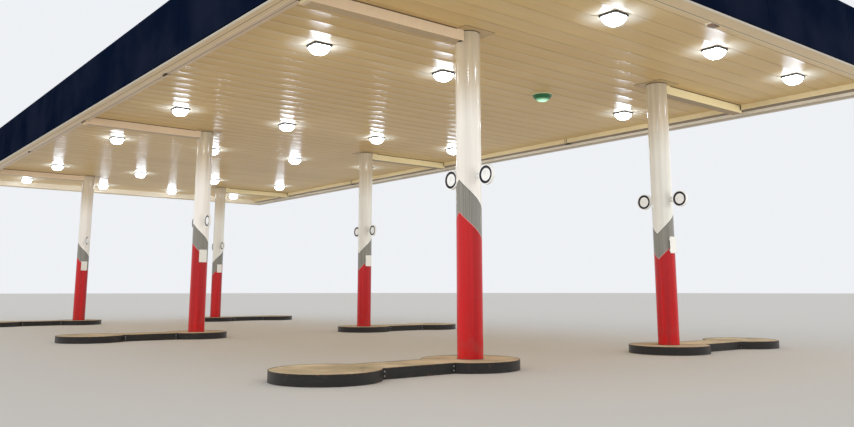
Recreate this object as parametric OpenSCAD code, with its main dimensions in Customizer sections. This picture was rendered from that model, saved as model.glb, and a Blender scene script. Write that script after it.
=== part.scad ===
// Filling station canopy: six round columns on dog-bone islands carry three main beams,
// purlins and a flat ribbed deck, closed by gutters and a tall fascia.
// Origin at ground level under the middle of the roof. X is the long way, -Y is the front.

/* [Canopy] */
// Overall length over the fascias, along X
canopy_l = 27400; // [26800:100:28600]
// Overall width over the fascias, along Y
canopy_w = 12000; // [11900:20:12400]
// Height of the deck's underside above ground
deck_z = 5250; // [4400:50:6000]
// Height of the fascia with its cap
fascia_h = 1090; // [1000:10:1500]
// How far the fascia hangs below the deck
lip_drop = 180; // [150:5:240]

/* [Columns] */
// Spacing of the column pairs along X
bay = 10300; // [9900:50:10500]
// Distance between the front and back columns
row_gap = 5080; // [4600:20:5400]
// Outside diameter of a column
col_d = 400; // [300:10:430]
// Wall of a column's tube
col_wall = 10; // [6:1:20]
// Side of the plate that caps a column
cap_plate = 450; // [440:5:460]
// Thickness of that plate
cap_plate_t = 20; // [12:1:30]

/* [Islands] */
// Height of an island above the ground
island_h = 150; // [100:10:200]
// Radius of an island's round ends
island_r = 740; // [600:10:800]
// Half the width of an island's waist
island_waist = 380; // [250:10:480]
// Distance between the centres of the two round ends
island_span = 2540; // [2300:20:2600]
// Thickness of the steel kerb around an island
kerb_t = 8; // [4:1:12]
// Open joint between two lengths of the kerb
kerb_joint = 2; // [1:0.5:5]
// How far the concrete lies below the kerb's top
concrete_drop = 3; // [0:1:10]
// Gap between an island's concrete and its column
island_gap = 6; // [3:1:15]

/* [Steel frame] */
// Depth of a main beam
beam_h = 460; // [400:10:520]
// Width of a main beam's flanges
beam_b = 190; // [150:5:220]
// Thickness of a main beam's flanges
beam_tf = 16; // [10:1:22]
// Thickness of a main beam's web
beam_tw = 10; // [6:1:14]
// Depth of a purlin
purlin_h = 300; // [260:10:340]
// Width of a purlin's flanges
purlin_b = 165; // [120:5:180]
// Thickness of a purlin's flanges
purlin_tf = 10; // [6:1:14]
// Thickness of a purlin's web
purlin_tw = 8; // [5:1:12]
// Spacing of the purlins
purlin_gap = 2100; // [2060:10:2130]
// Gap between a purlin's end and the beam that it frames into
cope = 12; // [8:1:20]
// Length of a fin plate beside a purlin's web
fin_lap = 90; // [60:5:120]
// Thickness of a fin plate
fin_t = 10; // [6:1:14]

/* [Deck] */
// Number of deck pans side by side
pan_count = 66; // [66:2:68]
// Height of the ribs where two pans lock together
rib_h = 76; // [60:1:90]
// Sheet thickness of the deck
deck_t = 3; // [2:0.5:5]
// Half the width of the open seam between two pans
seam = 4; // [3:0.5:8]
// Depth of that seam
seam_h = 10; // [8:1:16]
// Clearance between the edges of two locked pans
lock_gap = 1; // [0.5:0.5:3]
// Width of a rib's top flange
rib_flange = 34; // [24:2:44]
// How far the pans lap over the gutters and the end trims
deck_lap = 40; // [20:5:60]

/* [Edge trims and gutters] */
// Sheet thickness of the trims and gutters
trim_t = 4; // [3:0.5:6]
// Width of the soffit trim under the front and back fascias
soffit_w = 270; // [220:5:300]
// Width of the soffit trim at the two ends
soffit_end_w = 350; // [300:5:400]
// Open joint between two lengths of trim
trim_joint = 2; // [1:0.5:5]
// How far the soffit trim's folded lip hangs below the fascia
lip_h = 10; // [6:1:18]
// Width of that lip
lip_w = 45; // [30:5:60]
// Inside width of a gutter
gutter_w = 230; // [180:5:260]
// Depth of a gutter below the deck's underside
gutter_h = 115; // [80:5:140]
// Half the length along X between the straps that cover the gutter's splices
splice_x = 5300; // [4800:50:5700]
// Width of a splice strap
splice_w = 40; // [20:5:80]

/* [Fascia] */
// Thickness of a fascia panel
fascia_t = 30; // [20:1:40]
// Width of a fascia panel
panel_w = 2800; // [2400:50:3200]
// Width of the first panel from a corner
panel_first = 1000; // [600:50:1600]
// Width of the joint between two panels
joint_w = 10; // [6:1:16]
// Depth of that joint
joint_d = 8; // [4:1:12]
// Height of the cap flashing over the fascia's top edge
cap_h = 30; // [20:1:50]
// Width of the cap flashing
cap_w = 120; // [100:5:160]
// Side of the frame's square tubes
tube = 50; // [40:5:60]
// Number of fascia posts in one bay
posts_per_bay = 8; // [6:1:10]
// Thickness of the diagonal kickers
kicker_t = 30; // [20:5:40]

/* [Drainage covers] */
// Width of a leader box between a column and its gutter
leader_w = 220; // [160:10:240]
// Depth of a leader box below the deck
leader_h = 180; // [150:5:200]
// How far its foot reaches under the gutter
leader_toe = 60; // [30:5:100]
// Gap between a leader box and the column
leader_gap = 2; // [1:0.5:5]
// Side of the square trim plate around a column's top
collar = 620; // [560:10:700]
// Thickness of that plate
collar_t = 4; // [3:0.5:6]

/* [Lights] */
// Spacing of the rows of lights across the canopy
light_gap = 2730; // [2680:10:2780]
// How far the outermost row of lights at each end sits toward the front
end_row_shift = 50; // [0:5:60]
// Side of a light's frame
light_w = 345; // [330:5:380]
// Depth of the frame below the deck
light_t = 32; // [20:1:40]
// Side of the drop lens
lens_w = 295; // [260:5:310]
// How far the lens drops below the frame
lens_drop = 120; // [60:5:140]
// Height of the housing above the deck's underside
can_h = 165; // [120:5:220]
// Side of that housing
can_w = 290; // [260:5:300]
// Diameter of the round lamp's base
lamp_d = 420; // [360:10:440]
// Depth of the round lamp's dome
lamp_drop = 150; // [100:5:180]

/* [Signs and plates] */
// Height of the discs' centre above ground
disc_z = 2910; // [2500:10:3400]
// Radius of a disc
disc_r = 155; // [120:1:170]
// Inside radius of the disc's dark ring
disc_face_r = 106; // [80:1:112]
// Outside radius of the disc's dark ring
disc_ring_r = 138; // [118:1:146]
// Thickness of a disc at its rim
disc_t = 44; // [30:1:60]
// Distance from a column's surface to the disc's rim
disc_arm = 52; // [30:1:100]
// Width of a notice plate
plate_w = 200; // [160:5:240]
// Height of a notice plate
plate_h = 315; // [200:5:400]
// Height of a notice plate's lower edge above ground
plate_z = 1875; // [1500:5:2300]
// Thickness of a notice plate
plate_t = 4; // [2:1:6]
// Length of the junction box near the right end
box_l = 150; // [100:10:300]
// Width of the junction box
box_w = 115; // [80:5:200]
// Depth of the junction box
box_h = 55; // [40:5:100]

/* [Hidden] */
$fn = 64;

// Heights
lip_z = deck_z - lip_drop;
top_z = lip_z + fascia_h;
gutter_z = deck_z - gutter_h;
steel_z = deck_z + rib_h;
// Half sizes of the roof and of the deck between its trims
hx = canopy_l / 2;
hy = canopy_w / 2;
deck_hx = hx - soffit_end_w;
gutter_y = hy - soffit_w;
deck_hy = gutter_y - gutter_w;
pan_w = 2 * deck_hx / pan_count;
deck_cut_w = cap_plate + 20;
// Places of the columns
col_x = [-bay, 0, bay];
col_y = row_gap / 2;
// Places of the purlins, front to back
purlin_y = [for (i = [-2.5 : 1 : 2.5]) i * purlin_gap];
frame_t = fascia_t + tube;
purlin_end = hx - frame_t;
beam_end = hy - frame_t;
rail_z = lip_z + trim_t;
rail_top = top_z - trim_t;
// Places of the lights: pans counted from the right end, and their mirror images
light_pans = [2, 12, 27];
function pan_x(n) = deck_hx - (n + 0.5) * pan_w;
light_x = concat([for (n = light_pans) pan_x(n)], [for (n = light_pans) -pan_x(n)]);
light_y = [light_gap / 2, light_gap * 1.5];
function row_shift(x) = abs(x) > bay ? end_row_shift : 0;
lamp_at = [pan_x(light_pans[1]), light_y[0]];
box_at = [deck_hx - 0.7 * pan_w, 95];
can_hole = can_w + 10;

// Outline of an island with a round end under the column, grown by e
module dog_bone(e) {
  circle(r = island_r + e);
  translate([0, -island_span]) circle(r = island_r + e);
  translate([-island_waist - e, -island_span]) square([2 * (island_waist + e), island_span]);
}

// Turns a front piece into the back one
module to_row(back) {
  if (back) mirror([0, 1, 0]) children();
  else children();
}

module island(x, back) {
  color("tan") to_row(back) translate([x, -col_y, 0])
    linear_extrude(island_h - concrete_drop) difference() {
      dog_bone(0);
      circle(d = col_d + 2 * island_gap);
    }
}

// Steel form around each island: two bent ends and two straight sides with open joints
module island_kerbs(back) {
  joint_y = sqrt(pow(island_r, 2) - pow(island_waist, 2));
  color("dimgray") to_row(back) for (x = col_x)
    translate([x, -col_y, 0]) linear_extrude(island_h) difference() {
      dog_bone(kerb_t);
      dog_bone(0);
      for (y = [-joint_y, joint_y - island_span])
        translate([-island_r, y - kerb_joint / 2]) square([2 * island_r, kerb_joint]);
    }
}

// A tube with a plate on top that the main beam stands on
module column(x, back) {
  color("white") to_row(back) translate([x, -col_y, 0]) {
    difference() {
      cylinder(d = col_d, h = steel_z - cap_plate_t);
      translate([0, 0, -1]) cylinder(d = col_d - 2 * col_wall, h = steel_z - cap_plate_t);
    }
    translate([-cap_plate / 2, -cap_plate / 2, steel_z - cap_plate_t])
      cube([cap_plate, cap_plate, cap_plate_t]);
  }
}

// Square plates that close the deck around the columns, notched for the leader boxes
module column_collars() {
  color("ivory") for (x = col_x, back = [false, true])
    to_row(back) translate([x, -col_y, deck_z - collar_t]) linear_extrude(collar_t) difference() {
      square(collar, center = true);
      circle(d = col_d + 2 * leader_gap);
      translate([-leader_w / 2 - leader_gap, -collar]) square([leader_w + 2 * leader_gap, collar]);
    }
}

// One disc seen from its edge: a flat face, a raised ring and a higher rim on both sides
module disc() {
  half = disc_t / 2;
  rotate([90, 0, 0]) rotate_extrude() polygon([
    [0, 5 - half], [disc_face_r, 5 - half], [disc_face_r, 3 - half], [disc_ring_r, 3 - half],
    [disc_ring_r, -half], [disc_r, -half], [disc_r, half], [disc_ring_r, half],
    [disc_ring_r, half - 3], [disc_face_r, half - 3], [disc_face_r, half - 5], [0, half - 5]
  ]);
}

// Two discs a column, each on an arm that fits the column's round side
module number_discs(back) {
  arm_end = col_d / 2 + disc_arm + 20;
  color("white") to_row(back) for (x = col_x, side = [-1, 1])
    translate([x, -col_y, disc_z]) {
      translate([side * (col_d / 2 + disc_arm + disc_r), 0, 0]) disc();
      difference() {
        translate([side > 0 ? 0 : -arm_end, -12, -50]) cube([arm_end, 24, 100]);
        translate([0, 0, -51]) cylinder(d = col_d, h = 102);
      }
    }
}

// Flat plates on saddles at the columns' right side; the front right column has none
module notice_plates() {
  color("whitesmoke") for (x = col_x, back = [false, true])
    if (x < bay || back) to_row(back) translate([x, -col_y, plate_z]) difference() {
      union() {
        translate([col_d / 2 + 2, -plate_w / 2, 0]) cube([plate_t, plate_w, plate_h]);
        for (z = [30, plate_h - 70]) translate([0, -plate_w / 2 + 10, z])
          cube([col_d / 2 + 3, plate_w - 20, 40]);
      }
      translate([0, 0, -1]) cylinder(d = col_d, h = plate_h + 2);
    }
}

// Outline of a rolled I section standing on the line y = 0
module i_section(h, b, tf, tw) {
  polygon([
    [-b / 2, 0], [b / 2, 0], [b / 2, tf], [tw / 2, tf], [tw / 2, h - tf], [b / 2, h - tf],
    [b / 2, h], [-b / 2, h], [-b / 2, h - tf], [-tw / 2, h - tf], [-tw / 2, tf], [-b / 2, tf]
  ]);
}

// A main beam over a pair of columns, with a fin plate for each purlin on both sides
// and stiffeners in line with the columns' walls
module main_beam(x) {
  fin_reach = beam_b / 2 + cope + fin_lap;
  fin_h = purlin_h - 2 * purlin_tf - 40;
  wall = (col_d - col_wall) / 2;
  color("slategray") translate([x, 0, steel_z]) {
    translate([0, beam_end, 0]) rotate([90, 0, 0])
      linear_extrude(2 * beam_end) i_section(beam_h, beam_b, beam_tf, beam_tw);
    for (y = purlin_y) translate([-fin_reach, y + purlin_tw / 2, purlin_tf + 20])
      cube([2 * fin_reach, fin_t, fin_h]);
    for (y = [-col_y, col_y], e = [-wall, wall])
      translate([-beam_b / 2, y + e - fin_t / 2, beam_tf]) cube([beam_b, fin_t, beam_h - 2 * beam_tf]);
  }
}

// One purlin run along X between the points a and b
module purlin(a, b, y) {
  translate([a, y, steel_z]) rotate([90, 0, 90])
    linear_extrude(b - a) i_section(purlin_h, purlin_b, purlin_tf, purlin_tw);
}

module purlins(lines) {
  clear = beam_b / 2 + cope;
  ends = [-purlin_end - clear, -bay, 0, bay, purlin_end + clear];
  color("lightslategray") for (y = lines, i = [0 : 3])
    purlin(ends[i] + clear, ends[i + 1] - clear, y);
}

// Outlines across X: the open seam seen from below, and the web and flange that stand over it
function seam_x(i) = -deck_hx + i * pan_w;
function under(i) = [[seam_x(i) - seam, 0], [seam_x(i) - seam, seam_h]];
function rib(x) = [
  [x + seam + deck_t, seam_h + deck_t], [x + deck_t / 2, seam_h + deck_t],
  [x + deck_t / 2, rib_h - deck_t], [x + rib_flange / 2, rib_h - deck_t], [x + rib_flange / 2, rib_h],
  [x - rib_flange / 2, rib_h], [x - rib_flange / 2, rib_h - deck_t], [x - deck_t / 2, rib_h - deck_t],
  [x - deck_t / 2, seam_h + deck_t], [x - seam - deck_t, seam_h + deck_t], [x - seam - deck_t, deck_t]];
function pans_below(i0, i1) = [for (i = [i0 + 1 : i1 - 1])
  each concat(under(i), [[seam_x(i) + seam, seam_h], [seam_x(i) + seam, 0]])];
function pans_above(i0, i1) = [for (i = [i1 - 1 : -1 : i0 + 1])
  each concat([[seam_x(i) + seam + deck_t, deck_t]], rib(seam_x(i)))];

// A third of the deck. Its right edge is the rib that laps over the upstand of the next third;
// the outermost pans lap over the end trims
module deck(part) {
  i0 = part * pan_count / 3;
  i1 = (part + 1) * pan_count / 3;
  x0 = seam_x(i0) + (part == 0 ? -deck_lap : seam);
  x1 = seam_x(i1) + (part == 2 ? deck_lap : 0);
  locked = [[x0, seam_h - lock_gap], [x0 + deck_t, seam_h - lock_gap], [x0 + deck_t, deck_t]];
  left = part == 0 ? [[x0, deck_t]] : [for (i = [2, 1, 0]) locked[i]];
  right = part == 2 ? [[x1, 0], [x1, deck_t]]
    : concat(under(i1), [[seam_x(i1) + seam + deck_t, seam_h]], rib(seam_x(i1)));
  color("cornsilk") difference() {
    translate([0, deck_hy + deck_lap, deck_z]) rotate([90, 0, 0]) linear_extrude(2 * (deck_hy + deck_lap))
      polygon(concat([[x0, 0]], pans_below(i0, i1), right, pans_above(i0, i1), left));
    for (x = col_x, y = [-col_y, col_y]) if (x > x0 && x < x1)
      translate([x - deck_cut_w / 2, y - deck_cut_w / 2, deck_z - 1])
        cube([deck_cut_w, deck_cut_w, rib_h + 2]);
    for (x = light_x, y = light_y, s = [-1, 1]) if (x > x0 && x < x1)
      translate([x - can_hole / 2, s * y - row_shift(x) - can_hole / 2, deck_z - 1])
        cube([can_hole, can_hole, rib_h + 2]);
  }
}

// A U-shaped gutter under the deck's edge, with end caps and straps over its splices
module gutter(back) {
  y0 = -gutter_y;
  y1 = -deck_hy;
  len = 2 * deck_hx;
  color("wheat") to_row(back) {
    translate([-deck_hx, 0, 0]) rotate([90, 0, 90]) linear_extrude(len) polygon([
      [y0, gutter_z], [y1, gutter_z], [y1, deck_z], [y1 - trim_t, deck_z],
      [y1 - trim_t, gutter_z + trim_t], [y0 + trim_t, gutter_z + trim_t],
      [y0 + trim_t, steel_z], [y0, steel_z]
    ]);
    for (x = [-deck_hx, deck_hx - trim_t])
      translate([x, y0, gutter_z]) cube([trim_t, gutter_w, gutter_h]);
    for (x = [-splice_x, splice_x]) {
      translate([x - splice_w / 2, y0, gutter_z - trim_t]) cube([splice_w, gutter_w + trim_t, trim_t]);
      translate([x - splice_w / 2, y1, gutter_z - trim_t]) cube([splice_w, trim_t, gutter_h / 2]);
    }
  }
}

// Sheet covers over the drain pipes, from each column to its gutter
module leader_boxes(back) {
  y0 = -deck_hy;
  color("ivory") to_row(back) for (x = col_x) difference() {
    translate([x - leader_w / 2, y0 - leader_toe, deck_z - leader_h])
      cube([leader_w, leader_toe + deck_hy - col_y, leader_h]);
    translate([x - leader_w / 2 + trim_t, y0 + trim_t, deck_z - leader_h + trim_t])
      cube([leader_w - 2 * trim_t, deck_hy, leader_h]);
    translate([x - leader_w, y0 - 2 * leader_toe, gutter_z])
      cube([2 * leader_w, 2 * leader_toe, leader_h]);
    translate([x, -col_y, deck_z - leader_h - 1]) cylinder(d = col_d + 2 * leader_gap, h = leader_h + 2);
  }
}

// Soffit sheet behind the fascia with a folded lip along its outer edge and an inner leg;
// w is its reach from the fascia's face and leg its inner height
module soffit_profile(w, leg) {
  polygon([
    [fascia_t, -lip_h], [fascia_t + lip_w, -lip_h], [fascia_t + lip_w, 0], [w, 0], [w, leg],
    [w - trim_t, leg], [w - trim_t, trim_t], [fascia_t, trim_t]
  ]);
}

// Four lengths with an open butt joint at each corner; the long ones carry the lip round it
module soffit_trim() {
  long = canopy_l - 2 * fascia_t;
  end_len = canopy_w - 2 * (soffit_w + trim_joint);
  color("linen") translate([0, 0, lip_z]) {
    for (back = [false, true]) to_row(back) translate([0, -hy, 0]) {
      translate([-long / 2, 0, 0]) rotate([90, 0, 90])
        linear_extrude(long) soffit_profile(soffit_w, lip_drop - gutter_h + 60);
      for (x = [-long / 2, long / 2 - lip_w])
        translate([x, fascia_t, -lip_h]) cube([lip_w, soffit_w - fascia_t, lip_h + trim_t]);
    }
    for (side = [0, 1]) mirror([side, 0, 0]) translate([hx, end_len / 2, 0])
      mirror([1, 0, 0]) rotate([90, 0, 0]) linear_extrude(end_len)
        soffit_profile(soffit_end_w, lip_drop);
  }
}

// A row of panels len long on the line y = 0, facing -Y, mitred at both ends
module fascia_run(len) {
  joints = [for (x = [panel_first : panel_w : len - panel_first]) x];
  h = fascia_h - cap_h;
  translate([-len / 2, 0, lip_z]) difference() {
    linear_extrude(h) polygon([[0, 0], [len, 0], [len - fascia_t, fascia_t], [fascia_t, fascia_t]]);
    for (x = joints) translate([x - joint_w / 2, -1, -1]) cube([joint_w, joint_d + 1, h + 2]);
  }
}

module fascia_front() { color("midnightblue") translate([0, -hy, 0]) fascia_run(canopy_l); }
module fascia_back() { color("midnightblue") rotate(180) translate([0, -hy, 0]) fascia_run(canopy_l); }
module fascia_left() { color("midnightblue") rotate(-90) translate([0, -hx, 0]) fascia_run(canopy_w); }
module fascia_right() { color("midnightblue") rotate(90) translate([0, -hx, 0]) fascia_run(canopy_w); }

// Inverted U over the fascia's top edge, as four lengths with open mitres
module cap_flashing() {
  color("midnightblue") for (s = [0, 1]) {
    mirror([0, s, 0]) translate([0, -hy, top_z]) cap_run(canopy_l);
    mirror([s, 0, 0]) rotate(90) translate([0, -hx, top_z]) cap_run(canopy_w);
  }
}

module cap_run(len) {
  gap = trim_joint / 2;
  intersection() {
    translate([-len / 2, 0, 0]) rotate([90, 0, 90]) linear_extrude(len) polygon([
      [0, -cap_h], [0, 0], [cap_w, 0], [cap_w, -cap_h], [cap_w - trim_t, -cap_h],
      [cap_w - trim_t, -trim_t], [trim_t, -trim_t], [trim_t, -cap_h]
    ]);
    translate([-len / 2, 0, -cap_h - 1]) linear_extrude(cap_h + 2)
      polygon([[gap, 0], [len - gap, 0], [len - gap - cap_w, cap_w], [gap + cap_w, cap_w]]);
  }
}

// Square tubes along the fascias' lower and upper edges, with a gap at each corner
module fascia_rails() {
  long = canopy_l - 2 * (frame_t + trim_joint);
  short = canopy_w - 2 * fascia_t;
  color("gray") for (z = [rail_z, rail_top - tube], s = [0, 1]) {
    mirror([0, s, 0]) translate([-long / 2, -hy + fascia_t, z]) cube([long, tube, tube]);
    mirror([s, 0, 0]) translate([hx - frame_t, -short / 2, z]) cube([tube, short, tube]);
  }
}

// Post between the rails at x; y = 0 is the fascia's outer face
module post(x) {
  translate([x - tube / 2, fascia_t, rail_z + tube]) cube([tube, tube, rail_top - rail_z - 2 * tube]);
}

// Diagonal strut from a post's head down to a flange top at distance t1 and height z1
module kicker(x, t1, z1) {
  head = rail_top - tube;
  translate([x - kicker_t / 2, 0, 0]) rotate([90, 0, 90]) linear_extrude(kicker_t)
    polygon([[frame_t, head], [frame_t, head - tube], [t1, z1], [t1 + tube, z1]]);
}

// Brackets that hold the rails: a post with a kicker, and at the long sides an arm to the purlin.
// The main beams' ends take the place of arm and kicker
module fascia_brackets() {
  step = bay / posts_per_bay;
  last = floor(purlin_end / step);
  flange_t = hy - purlin_y[5] - purlin_b / 2;
  web_t = hy - purlin_y[5] - purlin_tw / 2;
  color("gray") {
    for (back = [false, true], k = [-last : last]) to_row(back) translate([0, -hy, 0]) {
      post(k * step);
      if (k % posts_per_bay != 0) {
        translate([k * step - tube / 2, frame_t, steel_z + purlin_h / 2])
          cube([tube, web_t - frame_t, tube]);
        kicker(k * step, flange_t + 10, steel_z + purlin_h);
      }
    }
    for (s = [0, 1], y = purlin_y) mirror([s, 0, 0]) rotate(90) translate([0, -hx, 0]) {
      post(y);
      kicker(y, frame_t + 500, steel_z + purlin_h);
    }
  }
}

// Places of the square lights of one row pair; the round lamp takes the place of one of them
function light_places(back) = [for (x = light_x, y = light_y)
  if (!back || [x, y] != lamp_at) [x, (back ? y : -y) - row_shift(x)]];

module light_housings(back) {
  color("darkslategray") for (p = light_places(back)) translate([p[0], p[1], deck_z]) difference() {
    union() {
      translate([-light_w / 2, -light_w / 2, -light_t]) cube([light_w, light_w, light_t]);
      translate([-can_w / 2, -can_w / 2, 0]) cube([can_w, can_w, can_h]);
      translate([-can_w / 3, -can_w / 4, can_h]) cube([can_w / 1.5, can_w / 2, can_h / 2]);
    }
    translate([-lens_w / 2, -lens_w / 2, -light_t - 1]) cube([lens_w, lens_w, light_t / 4 + 1]);
  }
}

// Side view of a drop lens, flat on top and narrowing in two facets
module lens_profile() {
  w = lens_w / 2;
  polygon([
    [-w, 0], [w, 0], [w, -light_t / 4], [0.9 * w, -light_t / 4 - lens_drop / 2],
    [0.62 * w, -light_t / 4 - lens_drop], [-0.62 * w, -light_t / 4 - lens_drop],
    [-0.9 * w, -light_t / 4 - lens_drop / 2], [-w, -light_t / 4]
  ]);
}

module light_lenses(back) {
  color("lightyellow") for (p = light_places(back))
    translate([p[0], p[1], deck_z - 0.75 * light_t]) intersection() {
      translate([0, lens_w / 2, 0]) rotate([90, 0, 0]) linear_extrude(lens_w) lens_profile();
      translate([-lens_w / 2, 0, 0]) rotate([90, 0, 90]) linear_extrude(lens_w) lens_profile();
    }
}

// A round can with a domed lens, in the place of one square light
module round_lamp() {
  r = lamp_d / 2;
  color("mediumseagreen") translate([lamp_at[0], lamp_at[1], deck_z]) {
    rotate_extrude() intersection() {
      polygon([
        [0, 0], [r, 0], [r, -20], [r - 12, -32], [0.7 * r, -lamp_drop * 0.72],
        [0.3 * r, -lamp_drop], [0, -lamp_drop]
      ]);
      square([2 * r, 4 * r], center = true);
    }
    cylinder(d = can_w * 0.95, h = can_h);
  }
}

module junction_box() {
  color("rosybrown") translate([box_at[0] - box_w / 2, box_at[1] - box_l / 2, deck_z - box_h])
    cube([box_w, box_l, box_h]);
}

island(-bay, false);  // island_front_left
island(0, false);  // island_front_middle
island(bay, false);  // island_front_right
island(-bay, true);  // island_back_left
island(0, true);  // island_back_middle
island(bay, true);  // island_back_right
island_kerbs(false);  // island_kerbs_front
island_kerbs(true);  // island_kerbs_back
column(-bay, false);  // column_front_left
column(0, false);  // column_front_middle
column(bay, false);  // column_front_right
column(-bay, true);  // column_back_left
column(0, true);  // column_back_middle
column(bay, true);  // column_back_right
column_collars();
number_discs(false);  // number_discs_front
number_discs(true);  // number_discs_back
notice_plates();
main_beam(-bay);  // main_beam_left
main_beam(0);  // main_beam_middle
main_beam(bay);  // main_beam_right
purlins([purlin_y[0], purlin_y[1]]);  // purlins_front
purlins([purlin_y[2], purlin_y[3]]);  // purlins_middle
purlins([purlin_y[4], purlin_y[5]]);  // purlins_back
deck(0);  // deck_left
deck(1);  // deck_middle
deck(2);  // deck_right
gutter(false);  // gutter_front
gutter(true);  // gutter_back
leader_boxes(false);  // leader_boxes_front
leader_boxes(true);  // leader_boxes_back
soffit_trim();
fascia_front();
fascia_back();
fascia_left();
fascia_right();
fascia_rails();
fascia_brackets();
cap_flashing();
light_housings(false);  // light_housings_front
light_housings(true);  // light_housings_back
light_lenses(false);  // light_lenses_front
light_lenses(true);  // light_lenses_back
round_lamp();
junction_box();
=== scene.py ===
"""Looks of a filling station canopy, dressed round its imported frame.

Every length is in metres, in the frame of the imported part: X along the roof,
-Y the front, Z up, with the origin on the ground under the roof's middle.
"""

import logging
import math
from dataclasses import dataclass
from enum import Enum
from itertools import product
from typing import Any, Callable, Iterable, Sequence

import bpy
from mathutils import Matrix, Vector


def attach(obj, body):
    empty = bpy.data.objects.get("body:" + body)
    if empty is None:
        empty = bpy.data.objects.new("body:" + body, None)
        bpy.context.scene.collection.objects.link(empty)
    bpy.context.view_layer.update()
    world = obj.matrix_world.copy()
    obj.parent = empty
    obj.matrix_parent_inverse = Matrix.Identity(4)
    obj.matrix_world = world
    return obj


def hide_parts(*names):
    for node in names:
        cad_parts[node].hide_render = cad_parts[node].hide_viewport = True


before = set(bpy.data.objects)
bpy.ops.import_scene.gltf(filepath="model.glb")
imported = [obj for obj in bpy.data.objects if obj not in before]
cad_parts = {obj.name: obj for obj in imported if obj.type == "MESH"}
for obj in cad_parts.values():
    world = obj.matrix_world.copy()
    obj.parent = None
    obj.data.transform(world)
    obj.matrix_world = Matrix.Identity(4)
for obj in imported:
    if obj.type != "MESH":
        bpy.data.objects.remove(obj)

log = logging.getLogger("canopy")
Colour = tuple[float, float, float]
Point = tuple[float, float, float]

# The two sides, ends or rows of what is mirrored, and the gap between faces that lie together.
BOTH = (-1, 1)
HAIR = 0.0002
PLACES = tuple(f"{row}_{end}" for row in ("front", "back") for end in ("left", "middle", "right"))


def srgb(*screen: int) -> Colour:
    """Turns a screen colour of 0 to 255 into the linear one that shaders take."""
    return tuple(share / 12.92 if share <= 0.04045 else ((share + 0.055) / 1.055) ** 2.4
                 for share in (value / 255 for value in screen))


@dataclass(frozen=True)
class Layout:
    """Sizes that several sub-assemblies share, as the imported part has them."""

    half_x: float = 13.7
    half_y: float = 6.0
    deck_z: float = 5.25
    deck_x: float = 13.35
    deck_y: float = 5.5
    gutter_y: float = 5.73
    gutter_z: float = 5.135
    splice_x: float = 5.3
    lip_z: float = 5.07
    lip_w: float = 0.075
    top_z: float = 6.16
    cap_h: float = 0.03
    steel_z: float = 5.326
    bay: float = 10.3
    row: float = 2.54
    column_r: float = 0.2
    pans: int = 66
    purlin_gap: float = 2.1
    purlin_b: float = 0.165
    beam_b: float = 0.19
    island_top: float = 0.147
    collar: float = 0.62
    disc_z: float = 2.91
    disc_x: float = 0.407
    light_pans: tuple[int, int, int] = (2, 12, 27)
    light_rows: tuple[float, float] = (1.365, 4.095)
    end_shift: float = 0.05

    @property
    def pan(self) -> float:
        """Width of one deck pan."""
        return 2 * self.deck_x / self.pans

    @property
    def column_x(self) -> tuple[float, float, float]:
        """Places of the column pairs along the roof."""
        return -self.bay, 0.0, self.bay

    @property
    def purlin_y(self) -> list[float]:
        """Places of the purlins, front to back."""
        return [step * self.purlin_gap for step in (-2.5, -1.5, -0.5, 0.5, 1.5, 2.5)]

    @property
    def lamp(self) -> tuple[float, float]:
        """Place of the round lamp."""
        return self.pan_x(self.light_pans[1]), self.light_rows[0]

    def pan_x(self, number: int) -> float:
        """Middle of a deck pan, counted from the right end."""
        return self.deck_x - (number + 0.5) * self.pan

    def lights(self) -> list[tuple[float, float]]:
        """Lists the square lights.

        Returns:
            Their places, without the one that the round lamp takes.
        """
        along = [self.pan_x(number) for number in self.light_pans]
        places = [(sx * x, sy * y - (self.end_shift if x > self.bay else 0.0))
                  for x, y, sx, sy in product(along, self.light_rows, BOTH, BOTH)]
        return [place for place in places if math.dist(place, self.lamp) > 0.1]


SIZE = Layout()


class Axis(Enum):
    """Direction that a small part points in, as its outward normal."""

    UP = (0.0, 0.0, 1.0)
    DOWN = (0.0, 0.0, -1.0)
    LEFT = (-1.0, 0.0, 0.0)
    RIGHT = (1.0, 0.0, 0.0)
    FRONT = (0.0, -1.0, 0.0)
    BACK = (0.0, 1.0, 0.0)

    def at(self, spot: Sequence[float]) -> Matrix:
        """Place at a spot, turned so that the Z axis points in this direction."""
        turn = Vector(self.value).to_track_quat("Z", "Y").to_matrix().to_4x4()
        return Matrix.Translation(Vector(spot)) @ turn


SIDES = ((-1, Axis.LEFT), (1, Axis.RIGHT))
FACES = ((-1, Axis.FRONT), (1, Axis.BACK))


def operator(operation: str, flipped: bool = False) -> Callable[..., "Val"]:
    """Makes a method that adds one Math node.

    Args:
        operation: Blender's name of the operation.
        flipped: The other value comes first, as a reflected form needs.

    Returns:
        The method, which returns the node's result.
    """
    def method(value: "Val", *others: Any) -> "Val":
        """Adds the node."""
        given = (*others, value) if flipped else (value, *others)
        return value.nodes.value("ShaderNodeMath", {"operation": operation},
                                 dict(enumerate(given)))
    return method


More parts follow.
